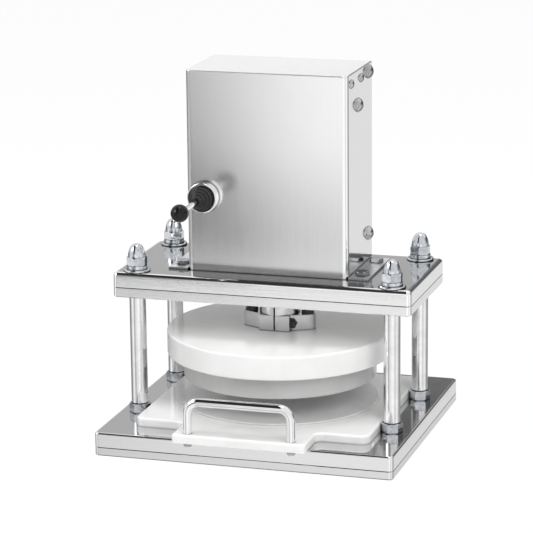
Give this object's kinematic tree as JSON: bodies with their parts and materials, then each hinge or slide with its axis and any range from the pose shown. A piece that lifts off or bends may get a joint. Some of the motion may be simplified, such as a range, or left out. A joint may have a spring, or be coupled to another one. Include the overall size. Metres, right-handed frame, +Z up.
{
  "type": "electric dough press",
  "caption": "Table-top electric dough press: steel housing and top plate on columns, screw-driven white pressing discs over a pull-out tray, worked by a lever switch.",
  "frame": {"origin": "on the press axis, midway between the columns, on the surface the base stands on", "axes": "+Z up, +X to the operator's right, +Y to the back; the tray pulls out towards -Y"},
  "size_m": [0.312, 0.294, 0.3805],
  "materials": {
    "brushed_steel": "brushed",
    "polished_steel": "polished",
    "zinc": "bright zinc",
    "mild_steel": "satin",
    "white_plastic": "gloss",
    "black_screws": "black oxide",
    "rubber": "matt",
    "black_knob": "gloss",
    "black_plastic": "matt",
    "bronze": "turned",
    "cast_aluminium": "cast",
    "wire": "insulation"
  },
  "bodies": {
    "frame": {"base_plate": "brushed_steel", "base_cover": "brushed_steel", "base_spacers": "mild_steel", "base_stiffeners": "mild_steel", "column_front_left": "polished_steel", "column_front_right": "polished_steel", "column_rear_left": "polished_steel", "column_rear_right": "polished_steel", "column_jam_nuts": "zinc", "column_flat_washers": "zinc", "column_spring_washers": "zinc", "column_cap_nuts": "zinc", "top_plate": "brushed_steel", "top_cover": "brushed_steel", "top_spacers": "mild_steel", "guide_bush": "bronze", "actuator_tube": "mild_steel", "limit_switches": "black_plastic", "switch_rail": "mild_steel", "gear_housing": "cast_aluminium", "gear_cover": "cast_aluminium", "screw_bearings": "mild_steel", "gearbox_screws": "black_screws", "motor_gearbox": "mild_steel", "motor_can": "black_screws", "actuator_frame": "brushed_steel", "foot_bolts": "zinc", "housing_shell": "brushed_steel", "housing_lid": "brushed_steel", "housing_back": "brushed_steel", "lid_rivets": "zinc", "housing_screws": "zinc", "joystick_body": "black_plastic", "joystick_bezel": "polished_steel", "lever_pivot_pin": "mild_steel", "contact_block": "black_plastic", "lever_boot": "rubber", "power_supply": "cast_aluminium", "terminal_block": "black_plastic", "cable_gland": "black_plastic", "gland_nut": "black_plastic", "wiring": "wire"},
    "tray": {"tray_plate": "white_plastic", "tray_pad": "white_plastic", "tray_handle": "polished_steel", "handle_nuts": "zinc"},
    "press_head": {"lower_disc": "white_plastic", "upper_disc": "white_plastic", "shaft_clamp": "mild_steel", "clamp_screw": "black_screws", "disc_bolts": "black_screws", "ram_tube": "polished_steel", "drive_nut": "bronze"},
    "screw": {"lead_screw": "mild_steel", "screw_gear": "mild_steel"},
    "motor_rotor": {"motor_shaft": "mild_steel", "motor_pinion": "mild_steel"},
    "lever": {"lever_rod": "polished_steel", "lever_knob": "black_knob"}
  },
  "joints": [
    {"name": "screw_turn", "type": "hinge", "parent": "frame", "child": "screw", "pos_m": [0, 0, 0.3], "axis": [0, 0, 1], "range_deg": [-1380, 720]},
    {"name": "press_slide", "type": "slide", "parent": "frame", "child": "press_head", "axis": [0, 0, 1], "range_m": [-0.023, 0.012]},
    {"name": "motor_turn", "type": "hinge", "parent": "frame", "child": "motor_rotor", "pos_m": [0.045, 0, 0.3], "axis": [0, 0, 1], "range_deg": [-1636.37, 3136.37]},
    {"name": "tray_slide", "type": "slide", "parent": "frame", "child": "tray", "axis": [0, -1, 0], "range_m": [0, 0.2]},
    {"name": "lever_tilt", "type": "hinge", "parent": "frame", "child": "lever", "pos_m": [-0.065, -0.042, 0.252], "axis": [1, 0, 0], "range_deg": [-20, 20], "stiffness_Nm_per_rad": 0.1, "deforming": ["lever_boot"]}
  ],
  "couplings": [
    {"joint": "press_slide", "follows": "screw_turn", "m_per_rad": 0.00095493},
    {"joint": "motor_turn", "follows": "screw_turn", "ratio": -2.2727}
  ]
}
